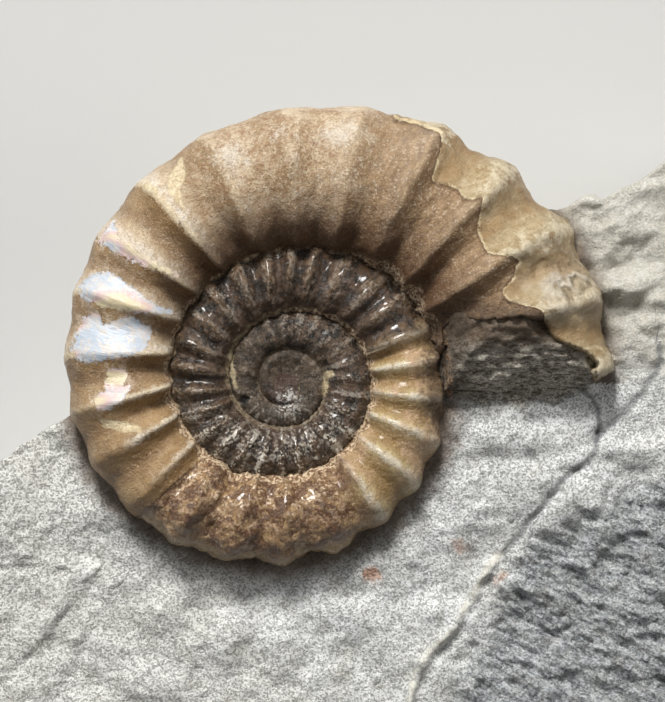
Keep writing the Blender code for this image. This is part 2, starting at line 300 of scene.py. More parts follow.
def solid_object(name, points_mm, faces):
    """A smooth-shaded object from points round the coil's middle and lists of corners."""
    mesh = bpy.data.meshes.new(name)
    mesh.from_pydata(((points_mm + coil) / 1000).tolist(), [], faces)
    mesh.polygons.foreach_set("use_smooth", [True] * len(mesh.polygons))
    obj = bpy.data.objects.new(name, mesh)
    bpy.context.scene.collection.objects.link(obj)
    return obj


def paint_on(obj, **layers):
    """Stores each named layer of numbers on the mesh's points, for its material to read."""
    for name, values in layers.items():
        layer = obj.data.attributes.new(name, "FLOAT", "POINT")
        layer.data.foreach_set("value", np.ascontiguousarray(values, np.float32).ravel())


# Outlines in millimetres from the coil's middle, clockwise from the left tip
top_edge = (
    (-21.7, -10.7), (-19.9, -7.5), (-17.2, -5.3), (-14.2, -3.65), (-12.4, -2.5), (-10.7, -1.5), (-8.9, 0.6),
    (-7.6, 3.7), (-5.2, 6.7), (-1.7, 8.7), (2.3, 9.7), (6.8, 9.9), (10.8, 9.0), (13.6, 8.6), (14.15, 8.9),
    (14.85, 9.3), (15.85, 9.35), (16.1, 9.25), (16.6, 9.65), (17.3, 9.95), (19.1, 11.0), (21.4, 12.1),
    (24.1, 12.3),
)
right_edge = (
    (24.1, 12.3), (25.8, 10.2), (26.2, 6.2), (25.3, 1.8), (26.1, -2.8), (25.0, -7.2), (25.6, -11.2),
    (24.1, -15.8), (21.6, -19.2),
)
bottom_edge = (
    (-16.7, -18.0), (-12.7, -20.2), (-8.2, -20.7), (-3.2, -22.1), (2.3, -21.3), (7.3, -22.0), (12.8, -20.8),
    (17.8, -21.2), (21.6, -19.2),
)
left_edge = ((-16.7, -18.0), (-20.3, -15.2), (-21.7, -10.7))
block_middle = (2.0, -5.5)
block_length, block_depth, mean_reach = 47, 26, 22
cells_along, cells_across, side_rings = 352, 230, 13

mud_outline = (
    (7.85, -0.62), (7.8, 1.2), (7.85, 2.4), (8.2, 3.0), (8.8, 3.3), (9.3, 3.45), (9.9, 3.25), (11.6, 3.4),
    (12.9, 3.15), (13.3, 2.35), (14.05, 1.95), (14.7, 1.65), (15.3, 1.38), (15.65, 1.0), (15.3, 0.72),
    (14.95, 0.42), (14.9, -0.1), (14.3, -0.35), (13.5, -0.75), (12.6, -0.45), (11.8, -0.9), (10.9, -0.5),
    (9.9, -0.8), (9.0, -0.4),
)
mud_levels = (
    (-0.9, 0.0), (-0.55, 0.22), (-0.1, 0.95), (0.3, 1.55), (1.0, 2.2), (1.8, 2.85), (2.6, 3.45), (3.4, 4.4),
)
crumbs_line = ((7.3, 3.9), (7.75, 2.8), (8.05, 1.7), (8.2, 0.5), (8.25, -0.5))
crack = (
    (18.75, 1.9), (18.85, 1.15), (18.4, 0.35), (17.8, -0.5), (17.05, -1.35), (16.4, -1.95), (15.85, -2.35),
    (15.65, -2.75), (15.5, -3.5), (15.15, -3.9), (14.55, -4.25), (13.95, -4.75), (13.45, -5.35),
    (13.05, -5.9), (12.6, -6.4), (12.2, -6.85), (11.8, -7.4), (11.35, -8.0), (11.0, -8.4),
)
crack_branch = ((14.95, -0.35), (15.4, -0.65), (15.7, -1.25), (15.85, -2.0), (15.65, -2.75))
vein = (
    (10.75, -8.5), (10.3, -9.05), (9.95, -9.65), (9.6, -10.35), (9.15, -11.05), (8.8, -11.65),
    (8.55, -12.25), (7.95, -12.85), (7.3, -13.35), (6.8, -14.05), (6.5, -14.9), (6.0, -17.0), (5.6, -22.0),
)
hairlines = (((10.15, -0.7), (10.25, -4.0), (10.1, -7.2)), ((10.65, -0.9), (10.7, -4.2), (10.75, -7.6)))
ledge_lines = (
    (((19.6, -4.2), (17.6, -4.05), (15.8, -3.75), (14.2, -4.1)), 0.16),
    (((18.4, -7.3), (17.2, -7.6), (16.4, -7.9), (15.9, -8.5)), 0.30),
    (((17.0, -9.6), (16.3, -10.5), (15.6, -11.3), (14.5, -11.9)), 0.34),
    (((19.5, -12.2), (16.5, -13.1), (14.0, -12.6), (11.6, -12.4)), 0.26),
    (((-9.6, -9.6), (-11.2, -11.6), (-12.6, -13.2), (-14.6, -15.0)), 0.30),
    (((-8.4, -10.2), (-9.6, -12.0), (-11.4, -15.4)), 0.16),
    (((-11.4, -9.2), (-12.6, -8.9), (-14.6, -9.2)), 0.18),
    (((11.2, -6.9), (10.4, -7.6), (9.2, -7.2), (8.4, -7.3)), 0.16),
    (((9.4, -10.0), (8.2, -10.3), (7.0, -9.9)), 0.10),
    (((19.2, 4.0), (17.6, 4.4), (16.2, 3.9)), 0.30),
    (((19.2, 6.0), (17.9, 6.6), (16.6, 6.0)), 0.24),
)
hollows = (
    ((-8.6, -6.9), (2.2, 1.6), 0.75), ((17.2, 6.3), (1.6, 0.8), -0.45), ((17.0, 4.9), (1.6, 0.6), 0.35),
    ((17.6, 3.6), (1.8, 0.5), -0.35), ((17.0, 1.9), (1.2, 0.8), 0.25), ((11.5, -2.6), (2.5, 0.9), 0.25),
    ((-9.5, -4.5), (1.5, 1.0), 0.25), ((-7.5, -7.6), (2.5, 0.9), -0.3), ((-11.5, -7.0), (1.6, 1.4), 0.3),
    ((3.0, -10.4), (5.0, 0.8), -0.25), ((-3.0, -12.4), (4.0, 1.2), 0.25), ((13.2, -9.6), (1.3, 1.0), 0.35),
    ((11.8, -12.3), (1.6, 0.8), -0.4), ((13.0, -1.7), (1.5, 0.35), -0.22),
    ((12.0, -3.6), (1.8, 0.4), -0.16), ((17.6, -3.2), (1.4, 0.4), 0.3),
)
rough_zone = (
    (12.4, -7.6), (14.0, -6.9), (15.6, -6.4), (17.4, -5.0), (19.4, -4.3), (30.0, -3.5), (30.0, -30.0),
    (7.4, -30.0), (8.6, -14.4), (10.2, -12.6), (11.0, -10.6), (11.4, -8.9),
)
stains = (((8.95, -8.15), 0.75), ((10.85, -9.6), 0.55), ((9.75, -4.25), 0.7), ((4.4, -9.6), 0.6))
mouth_rise = (10.8, -2.4)

# The shell's flank at the mouth, and its edge at angles of the coil where the block meets it
flank_middle, flank_half_width, flank_height = 12.0, 4.02, 3.52
edge_angles = (0, 60, 120, 180, 240, 270, 300, 330, 360)
edge_reach = (8.1, 8.4, 9.3, 10.8, 12.6, 13.7, 14.8, 15.8, 15.9)


def ledges(height, drop):
    """Turns a smooth height into treads with steep rounded fronts, each one drop high."""
    level = np.floor(height / drop)
    return drop * (level + ease(height / drop - level, 0.45, 1.0))


def mud_height(x, y):
    """The mud's slope. It rises towards the shell in ragged ledges, up to the shell's own
    rounded flank, and sinks with it to the seam."""
    slope = np.interp(y, *zip(*mud_levels)) + 0.22 * rough(0.6 * x, y + 0.12 * x, 0.9, 4, 81)
    ragged = ledges(slope, 0.42) + 0.26 * rough(0.6 * x, y + 0.1 * x, 0.5, 4, 91)
    away = np.hypot(x, y)
    flank = np.clip(1 - ((away - flank_middle) / flank_half_width) ** 2, 0.02, 1)
    flank = flank_height * np.sqrt(flank) + 0.12
    flank += 0.24 * rough(x, y, 0.8, 4, 96) - 0.5 * ease(away, 12.2, 13.2)
    return np.minimum(0.4 * slope + 0.6 * ragged, flank)


def block_height(x, y):
    """Height of the block's top over the coil's middle plane: a slope up to the right, a rise
    below the mouth and lumps on lumps. Ledges drop towards the front. The crack is a sharp
    groove and the vein a low beaded ridge. The mud lies above all that."""
    near_mouth = np.exp(-((x - mouth_rise[0]) ** 2 + (y - mouth_rise[1]) ** 2) / 14)
    height = -1.0 + 0.045 * x + 0.75 * near_mouth + 0.36 * rough(x, y, 5.0, 3, 11)
    height += 0.20 * rough(x, y, 1.9, 4, 21) + 0.03 * rough(x, y, 0.42, 2, 31)
    for middle, width, depth in hollows:
        height += depth * mound(x - middle[0], width[0]) * mound(y - middle[1], width[1])
    zone = ease(inside(x, y, rough_zone) + 0.5 * rough(x, y, 1.2, 2, 36), -0.6, 0.9)
    along_grain, over_grain = 0.88 * x - 0.47 * y, 0.47 * x + 0.88 * y
    slabs = 0.24 * rough(along_grain / 2.6, over_grain, 1.1, 4, 41)
    hackly = 0.4 * slabs + 0.6 * ledges(slabs, 0.10)
    hackly += 0.22 * rough(along_grain / 3, over_grain, 0.34, 3, 51)
    height += zone * (hackly - 0.25)
    ripples = rough(0.8 * x - 0.6 * y, 0.6 * x + 0.8 * y, 1.1, 2, 56)
    height += (1 - zone) * 0.05 * ripples
    top_right = ease(x, 12.5, 15.5) * ease(y, -0.5, 2.0)
    height += top_right * 0.26 * rough(0.8 * x - 0.5 * y, 1.3 * y + 0.4 * x, 1.3, 4, 58)
    shift = 0.10 * rough(x, y, 0.9, 3, 61)
    for line, drop in ledge_lines:
        gap = from_line(x, y, line) + shift
        size = np.hypot(*np.diff(np.array(line), axis=0).T).sum()
        away = np.hypot(x - np.mean([p[0] for p in line]), y - np.mean([p[1] for p in line]))
        fade = ease(-away, -0.85 * size, -0.35 * size)
        height -= 0.6 * drop * fade * mound(gap, 0.9) * np.tanh(gap / 0.22)
    open_share = 0.65 + 0.5 * rough(x, y, 0.7, 2, 63)
    for line, opening, dip, dip_width in ((crack, 0.14, 0.14, 0.45), (crack_branch, 0.12, 0.10, 0.4)):
        gap = from_line(x, y, line) + shift
        height -= 0.15 * open_share * mound(gap, opening) + dip * mound(gap, dip_width)
    ridge = from_line(x, y, vein) + shift
    beads = 0.8 + 0.7 * rough(x, y, 0.45, 2, 66)
    height += 0.34 * mound(ridge, 0.25) * beads - 0.09 * mound(ridge - 0.45, 0.22)
    inner = inside(x, y, mud_outline) + 0.12 * rough(x, y, 0.7, 2, 71)
    covers = ease(inner, -0.75, -0.30)
    return height * (1 - covers) + np.maximum(mud_height(x, y), height) * covers


def block_points():
    """The top as a patch stretched between its four broken edges, and rings of points that go
    down the sides, in and out over the ledges, to the flat base."""
    wide = np.interp(np.arange(cells_along + 1) / cells_along, (0, 0.07, 0.9, 1), (0, 0.13, 0.84, 1))
    deep = np.interp(np.arange(cells_across + 1) / cells_across, (0, 0.12, 1), (0, 0.22, 1))
    top, bottom = along(top_edge, wide), along(bottom_edge, wide)
    left, right = along(left_edge, deep), along(right_edge[::-1], deep)
    u, v = wide[:, None, None], deep[None, :, None]
    patch = (1 - v) * bottom[:, None] + v * top[:, None] + (1 - u) * left[None] + u * right[None]
    patch -= (1 - u) * (1 - v) * bottom[0] + u * (1 - v) * bottom[-1]
    patch -= (1 - u) * v * top[0] + u * v * top[-1]
    x, y = patch[..., 0], patch[..., 1]
    from_end = np.minimum(u, 1 - u)[..., 0] * block_length
    rim = np.minimum(from_end, np.minimum(v, 1 - v)[..., 0] * block_depth)
    loose = np.exp(-rim / 1.2)
    x = x + 0.16 * loose * rough(x, y, 1.6, 3, 101)
    y = y + 0.16 * loose * rough(x, y, 1.4, 3, 111)
    chips = 0.5 + 0.5 * rough(x, y, 2.4, 3, 121)
    z = block_height(x, y) - 0.55 * np.exp(-rim / 0.7) * np.clip(chips, 0.15, 1.4)
    ring = np.concatenate([
        np.arange(cells_along) * (cells_across + 1),
        cells_along * (cells_across + 1) + np.arange(cells_across),
        np.arange(cells_along, 0, -1) * (cells_across + 1) + cells_across,
        np.arange(cells_across, 0, -1),
    ])
    face = np.stack([x.ravel(), y.ravel(), z.ravel()], axis=1)
    rim_points = face[ring]
    depth = (np.arange(1, side_rings + 1) / side_rings)[:, None]
    out_x, out_y = (rim_points[:, :2] - block_middle).T[:, None]
    turn = np.arctan2(out_y, out_x)
    width = np.interp(depth, (0, 0.14, 0.4, 0.72, 1), (1, 1.008, 0.985, 0.97, 0.947))
    width = width + 0.014 * np.sin(9 * (turn + depth))
    walk = np.cumsum(np.hypot(*np.diff(rim_points[:, :2], axis=0, prepend=rim_points[:1, :2]).T))[None]
    fade = np.sin(np.pi * np.clip(walk / walk[:, -1:], 0, 1)) ** 0.2
    broken = 0.34 * rough(walk, 16 * depth, 3.6, 4, 131)
    broken = broken + 0.22 * np.abs(rough(walk, 16 * depth, 2.0, 3, 141))
    width = width + (broken * fade - 0.42) / mean_reach
    sides = np.stack([
        block_middle[0] + width * out_x,
        block_middle[1] + width * out_y,
        rim_points[:, 2][None] * (1 - depth) - coil[2] * depth + 0 * width,
    ], axis=-1)
    heart = np.array([[block_middle[0], block_middle[1], -coil[2]]])
    return np.concatenate([face, sides.reshape(-1, 3), heart]), ring


def block_faces(ring):
    """Quads over the top and down the sides, and a fan under the flat base."""
    i = np.arange(cells_along)[:, None] * (cells_across + 1)
    k = np.arange(cells_across)[None]
    a = (i + k).ravel()
    b = a + cells_across + 1
    top = np.stack([a, b, b + 1, a + 1], axis=1)
    first = (cells_along + 1) * (cells_across + 1)
    lower = first + np.arange(side_rings * len(ring)).reshape(side_rings, -1)
    rings = np.concatenate([ring[None], lower])
    after = np.roll(rings, -1, axis=1)
    sides = np.stack([rings[:-1], rings[1:], after[1:], after[:-1]], axis=-1).reshape(-1, 4)
    heart = first + side_rings * len(ring)
    base = np.stack([rings[-1], np.full(len(ring), heart), after[-1]], axis=1)
    return top.tolist() + sides.tolist() + base.tolist()


points, ring = block_points()
block = solid_object("limestone", points, block_faces(ring))
x, y = points[:, 0], points[:, 1]
hair_gaps = np.stack([np.abs(from_line(x, y, line)) for line in hairlines])
turned = -np.degrees(np.arctan2(y, x)) % 360
paint_on(
    block,
    crack=from_line(x, y, crack),
    branch=from_line(x, y, crack_branch),
    vein=from_line(x, y, vein),
    hairline=hair_gaps.min(axis=0),
    fracture=inside(x, y, rough_zone),
    mud=inside(x, y, mud_outline),
    crumbs=np.abs(from_line(x, y, crumbs_line)),
    beside_shell=np.hypot(x, y) - np.interp(turned, edge_angles, edge_reach),
)

stone = Finish("grey_limestone")
place = stone.millimetres()
right, up, level = (stone.part(place, axis) for axis in range(3))
broad = stone.noise(place, 0.16, 4, 0.6)
patches = stone.noise(place, 0.8, 5, 0.65)
dust = stone.noise(place, 2.2, 4, 0.7)
streaky = stone.noise(stone.millimetres((0.7, 1.0, 1.0)), 3.2, 4, 0.7)
grain = stone.noise(place, 9.0, 3, 0.75)
tone = stone.grains(place, 12.0)

# Pale grey, warmer to the left and in the far corner, and blue-grey shards in the rough zone
on_face = (level + (patches - 0.5) * 2).step(10.8, 12.2)
warm = (-1 * right - 0.5 * up + patches * 10).step(6.0, 20.0)
far = (up + (patches - 0.5) * 6).step(3.0, 7.0)
fracture = (stone.attribute("fracture") + (patches - 0.5) * 3).step(-0.5, 1.0) * on_face
shard_turn = {0: place, 3: math.radians(28)}
turned_place = stone.node("ShaderNodeVectorRotate", {"rotation_type": "Z_AXIS"}, shard_turn)
shards = stone.noise(stone.scaled(turned_place, (0.42, 1.5, 1)), 3.6, 5, 0.75)
colour = stone.mix(broad.step(0.35, 0.65), (240, 241, 238), (248, 250, 250)).tinted(
    (warm * 0.25, 236, 230, 212),
    (far * 0.7, 200, 194, 176),
    (fracture * 0.8, 202, 208, 212),
    (fracture * shards.step(0.51, 0.58) * 0.7, 112, 117, 122),
    (fracture * shards.step(0.47, 0.39) * 0.8, 246, 249, 250),
    (patches.step(0.50, 0.70) * 0.4, 186, 182, 170),
    (patches.step(0.48, 0.32) * 0.4, 240, 240, 236),
    (streaky.step(0.52, 0.68) * 0.2, 164, 162, 156),
    (streaky.step(0.47, 0.33) * 0.4, 246, 247, 243),
)

# Darker mud in flakes, brown at its upper edge and beside the shell
mud_edge = stone.attribute("mud") + (patches - 0.5) * 0.5 + (streaky - 0.5) * 0.4
mud_here = (mud_edge + up.step(4.4, 5.4) * 0.9).step(-0.45, 0.05)
flakes = stone.noise(stone.millimetres((0.55, 1.2, 1.0)), 3.9, 5, 0.78)
mud_colour = stone.mix(flakes.step(0.44, 0.60), (244, 236, 220), (122, 110, 94)).tinted(
    ((up + (patches - 0.5) * 2).step(5.2, 6.8) * 0.8, 112, 84, 54),
    ((right + (patches - 0.5) * 2).step(7.6, 6.2) * 0.7, 92, 74, 54),
)
colour = stone.mix(mud_here * 0.95, colour, mud_colour)

# Rusty stains, then dark mineral grains over everything
for spot, size in stains:
    reach = stone.distance(place, coil + (*spot, -0.8))
    stain = (reach + (patches - 0.5) * 2.4).step(size, size * 0.1)
    colour = colour.tinted((stain * 0.75, 200, 138, 96))
pepper = stone.mix((tone * 0.4 + grain * 0.6).step(0.42, 0.66), (255, 255, 255), (158, 158, 156))
colour = stone.mix(0.85 - far * 0.5, colour, pepper, "MULTIPLY")

# Dust, brown painted shadow along the shell, dark lines along the cracks and hairlines, and the pale vein
# Painted shadow: the rock is darkened brown in a band beside the shell's edge.
painted_shadow_by_shell = (stone.attribute("beside_shell") + (patches - 0.5) * 1.6).step(1.5, 0.2) * on_face
crumbs = (stone.attribute("crumbs") + (dust - 0.5) * 0.6).step(0.30, 0.16) * dust.step(0.44, 0.52)
crumb_colour = stone.mix(tone.step(0.3, 0.7), (208, 180, 148), (140, 102, 72))
colour = colour.tinted(
    (dust.step(0.54, 0.70) * 0.28, 140, 134, 122),
    (painted_shadow_by_shell * (1 - mud_here) * 0.85, 100, 80, 60),
)
colour = stone.mix(crumbs * 0.85, colour, crumb_colour)
wander = (streaky - 0.5) * 0.34
fissure = abs(stone.attribute("crack") + wander)
branch = abs(stone.attribute("branch") + wander)
hair = (stone.attribute("hairline") + wander * 0.3).step(0.06, 0.01)
ridge = abs(stone.attribute("vein") + wander).step(0.30, 0.08) * on_face
colour = colour.tinted(
    (fissure.step(0.26, 0.05) * 0.65, 104, 106, 108),
    (branch.step(0.22, 0.04) * 0.65, 104, 106, 108),
    (hair * 0.4, 100, 98, 94),
    (ridge * dust.step(0.34, 0.48) * 0.55, 240, 236, 220),
)
broken_side = (level + patches * 2).step(13.0, 11.0)
relief = stone.bump(stone.noise(place, 0.7, 4, 0.55) * broken_side, 1.6, 1.0)
relief = stone.bump(streaky + fracture * shards * 2.5 + mud_here * flakes * 3, 0.09, 1.0, relief)
relief = stone.bump(grain + tone * 0.3, 0.11, 1.0, relief)
stone.shade({"Base Color": colour, "Roughness": 0.92 - ridge * 0.15, "Normal": relief})
block.data.materials.append(stone.material)

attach(block, "root")
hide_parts("limestone_block")


# The shell
#
# The fossil shell of honey-brown calcite, varnished. Each whorl is a rounded tube that starts at
# the seam on the one before it, crossed by sharp ribs. Tan outer shell still covers the edge near
# the mouth, mother-of-pearl shows on the left, and granular mud fills the seams.

whorl_radii = (
    0.75, 0.87, 1.0, 1.15, 1.3, 1.6, 1.85, 2.05, 2.12, 2.14, 2.16, 2.32, 2.75, 3.2, 3.7, 4.25, 4.45, 4.47,
    4.62, 5.2, 5.75, 6.3, 6.95, 7.8,
)
last_radii = (
    8.15, 8.17, 8.22, 8.3, 8.37, 8.5, 8.72, 9.0, 9.35, 9.7, 10.1, 10.45, 10.8, 11.12, 11.55, 12.05, 12.6,
    13.15, 13.75, 14.3, 14.85, 15.35, 15.87, 16.2, 15.95,
)
first_angle = -1080
whorls = 4
mouth_angle = 362.0
seam_bend = 0.21
seam_reach = 0.9
seam_share = 1 - math.acos(seam_reach) / (math.pi - seam_bend)
width_to_height = 0.90
columns = 540
top_rows = (8, 16, 32, 64)
under_rows = (4, 4, 8, 16)
edge_rows = 20

# The crystals end at a crack, and the ribs turn from rounded to saw-toothed beside it
break_angle = 137.9
saw_angles = (137, 141)

# Rib crests of the last whorl at the seam, on the flank and at the outer edge
seam_crests = (
    4, 18, 34, 52, 69, 88, 106, 131, 149, 166, 181, 197, 213, 228, 243, 261, 277, 291, 306, 320.5, 333, 346,
    358, 371,
)
flank_crests = (
    5, 19, 35, 52, 70, 89, 107, 126.5, 143, 159, 174, 190, 207, 222, 237, 255, 272, 287, 302.5, 317.5,
    330.5, 344.5, 357, 371,
)
edge_crests = (
    5, 21, 37, 54, 71.5, 91, 108.5, 126, 141, 157, 172, 187, 204, 219, 234, 251, 269, 286, 301, 316.5,
    330.5, 344, 357, 371,
)
inner_crests = (-170, -156, -142, -127, -112, -98, -87, -77, -62.5, -48, -36, -22, -9.5)

# Heights of the ribs in millimetres, on the flank and at the outer edge, at angles of the coil.
# The mud in the seams has a share of its full height at such angles, and a share of its full
# width by the way along the coil, from 0 at its start to 1 near the mouth. Mother-of-pearl has
# a tint for each value of its noise.
rib_angles = (-1080, -720, -540, -360, -180, 0, 60, 90, 137, 180, 235, 255, 275, 292, 306, 335, 362)
flank_heights = (
    0.0, 0.0, 0.0, 0.08, 0.32, 0.40, 0.46, 0.46, 0.50, 0.58, 0.60, 0.56, 0.48, 0.52, 0.70, 0.80, 0.7,
)
edge_heights = (
    0.0, 0.02, 0.04, 0.12, 0.2, 0.26, 0.32, 0.34, 0.3, 0.24, 0.2, 0.2, 0.18, 0.26, 0.5, 0.56, 0.5,
)
crust_heights = (
    (-720, 0.2), (-360, 0.5), (-60, 0.6), (0, 1), (40, 1), (130, 1), (160, 0.8), (215, 0.6), (250, 0.15),
    (292, 0.2), (306, 1), (362, 1),
)
crust_widths = (
    (0.0, 0), (0.25, 0.35), (0.50, 0.7), (0.74, 1), (0.855, 1), (0.875, 0.7), (0.90, 0.55), (0.92, 0.1),
    (0.953, 0.1), (0.965, 0.8), (1.0, 0.8),
)
pearl_tints = (
    (0.0, (214, 196, 142)), (0.36, (218, 204, 170)), (0.43, (212, 184, 182)), (0.49, (202, 204, 208)),
    (0.57, (184, 195, 208)), (1.0, (204, 208, 212)),
)

# Outlines and spots on the shell as seen from above, in millimetres from the coil's middle. The
# pit and the spot of painted glitter also have a height.
flap_outline = (
    (4.6, 16.5), (5.5, 13.15), (5.9, 13.1), (6.5, 13.05), (7.0, 12.85), (7.8, 12.6), (7.85, 12.0),
    (7.6, 11.2), (7.45, 10.6), (7.35, 10.25), (7.6, 10.05), (8.3, 9.9), (8.75, 9.6), (8.95, 9.3),
    (9.35, 9.2), (9.75, 9.35), (9.95, 9.5), (9.85, 9.0), (9.75, 8.4), (9.6, 7.8), (9.75, 7.4), (9.95, 6.9),
    (10.2, 6.55), (11.0, 6.45), (11.45, 6.4), (11.75, 6.2), (11.5, 5.85), (11.45, 5.4), (11.1, 5.0),
    (10.85, 4.75), (11.0, 4.3), (11.5, 4.1), (12.0, 3.95), (12.6, 3.85), (13.0, 3.6), (13.0, 3.1),
    (12.9, 2.2), (12.9, -2.0), (20.0, -3.0), (20.0, 17.0),
)
pearl_outlines = (
    ((-10.2, 4.9), (-9.5, 5.55), (-8.8, 5.6), (-8.25, 5.3), (-7.7, 4.85), (-7.2, 4.55), (-6.4, 3.95),
     (-5.6, 3.6), (-6.3, 3.65), (-7.5, 3.75), (-8.7, 3.85), (-9.4, 4.05), (-10.05, 4.4)),
    ((-10.05, 3.35), (-9.35, 3.6), (-9.1, 2.95), (-8.4, 3.2), (-7.7, 3.4), (-7.3, 3.25), (-6.9, 2.95),
     (-6.7, 2.75), (-6.8, 2.25), (-7.15, 1.75), (-7.7, 1.55), (-8.8, 1.35), (-9.8, 1.2),
     (-10.2, 1.3), (-10.6, 1.75), (-10.4, 2.45), (-10.2, 2.75)),
    ((-8.7, 0.65), (-8.1, 0.85), (-7.9, 0.55), (-8.15, -0.05), (-7.8, -0.15), (-8.1, -0.65),
     (-8.7, -1.15), (-9.3, -1.15), (-9.6, -0.8), (-9.3, -0.6), (-8.85, -0.25)),
    ((-8.55, 8.15), (-9.3, 7.3), (-8.7, 6.85), (-7.5, 6.25), (-6.5, 5.85), (-5.3, 5.5), (-6.6, 6.2),
     (-7.6, 6.75), (-8.3, 7.3)),
)
mouth_outline = mud_outline[:15] + (
    (15.5, 0.22), (16.3, 0.62), (18.0, 0.9), (18.0, -2.0), (8.25, -2.0),
)
cream_outlines = (
    ((-9.2, -1.7), (-8.0, -1.85), (-7.1, -2.1), (-7.1, -2.4), (-8.2, -2.3), (-9.1, -2.05)),
    ((-5.1, 11.4), (-5.75, 10.45), (-5.85, 9.6), (-5.3, 9.15), (-4.95, 8.65), (-5.2, 9.8), (-4.9, 10.6)),
    ((-7.1, 10.1), (-6.3, 9.9), (-6.35, 9.6), (-7.05, 9.65)),
    ((2.0, 0.5), (2.1, 0.72), (2.45, 0.74), (2.55, 0.5), (2.3, 0.4), (2.2, 0.1), (2.15, -0.4),
     (1.95, -0.4), (2.0, 0.1)),
    ((-2.72, 1.7), (-2.6, 1.75), (-2.45, 0.4), (-2.35, -0.1), (-2.5, -0.15), (-2.7, 0.6)),
)
# Spots of painted highlight on the top of the last whorl
painted_highlight_spots = (((-2.5, 11.4), 1.1), ((2.6, 12.6), 1.2), ((6.0, 12.0), 0.9), ((-0.4, 12.9), 0.7))
wrinkle_middle = (14.2, 5.0)
layer_thickness = 0.14
pit = (-2.0, -0.78, 0.5)
painted_glitter_spot = (0.16, -0.83, 0.4)
bowl_middle = (0.16, 0.36)
bowl_radius = 1.18


def outer_radius(angle):
    """Radius of the outer edge: straight lines between the logarithms of the listed radii,
    smoothed by a running average."""
    whorl_knots, last_knots = first_angle + 45 * np.arange(24), 15 * np.arange(25)
    knots = np.concatenate([[-1800, -1440], whorl_knots, last_knots, [540]])
    logs = np.log(np.concatenate([[0.19, 0.38], whorl_radii, last_radii, [18.5]]))
    degrees = np.arange(-1900, 600)
    window = np.hanning(29)
    padded = np.pad(np.interp(degrees, knots, logs), 14, mode="edge")
    smooth = np.convolve(padded, window / window.sum(), mode="valid")
    return np.exp(np.interp(angle, degrees, smooth))


def seam_radius(angle):
    """Where the next whorl starts, a little inside the outer edge."""
    outer = outer_radius(angle)
    return outer - (outer - 0.96 * outer_radius(angle - 360)) / 2 * (1 - seam_reach)


def rib_phase(angle, across):
    """Counts the ribs along the coil. The count is blended from those at the seam, on the
    flank and at the outer edge, so the crests bend as they cross the whorl."""
    early = inner_crests[0] - 14 * np.arange(70, 0, -1)
    counts = []
    for crests in (seam_crests, flank_crests, edge_crests):
        full = np.concatenate([early, inner_crests, crests])
        counts.append(np.interp(angle, full, np.arange(len(full))))
    inner_flank_shade = np.clip(across / 0.5, 0, 1)
    high = np.clip((across - 0.5) / 0.5, 0, 1)
    return counts[0] * (1 - inner_flank_shade) + counts[1] * (inner_flank_shade - high) + counts[2] * high


def rib_shape(angle, across):
    """Ribs from 0 between them to 1 on a crest. On the inner whorls they are rounded. From the
    crack on they are like the teeth of a saw, with a long gentle side and a short steep one,
    hollow at its foot. The steep side comes before the crest at first, and after it towards
    the mouth. The second result is 1 on the steep sides."""
    phase = rib_phase(angle, across)
    share = phase - np.floor(phase)
    from_crest = np.minimum(share, 1 - share)
    softness = np.interp(angle, (-200, -20, 0, saw_angles[0]), (0.20, 0.16, 0.08, 0.10))
    softer = np.interp(angle, (20, 60, *saw_angles), (0.10, 0.35, 0.35, 0.10))
    softness = softness + softer * ease(across, 0.7, 0.95)
    bent = np.sqrt(from_crest**2 + softness**2) - softness
    reach = np.sqrt(0.25 + softness**2) - softness
    rounded = np.clip(1 - bent / reach, 0, 1) ** 1.5
    foot = np.interp(angle, (252, 292), (0.58, 0.36))
    saw = 0
    for nudge in (-0.05, 0, 0.05):
        place = np.mod(share + nudge, 1)
        fall = np.clip(1 - place / foot, 0, 1) ** 1.4
        climb = np.clip((place - foot) / (1 - foot), 0, 1) ** 1.5
        saw = saw + 0.37 * (fall + climb)
    sharp = np.interp(angle, (150, 185, 244, 262, 290, 302), (0.5, 0.95, 1, 0.6, 0.5, 0.85))
    sharp = ease(angle, *saw_angles) * sharp * (1 - 0.7 * ease(across, 0.66, 0.92))
    before = ease(share, foot - 0.14, foot + 0.28)
    after = 1 - ease(share, 0.0, foot + 0.14)
    steep = np.where(angle < 274, before, after) * ease(angle, *saw_angles)
    return saw * sharp + rounded * (1 - sharp), steep


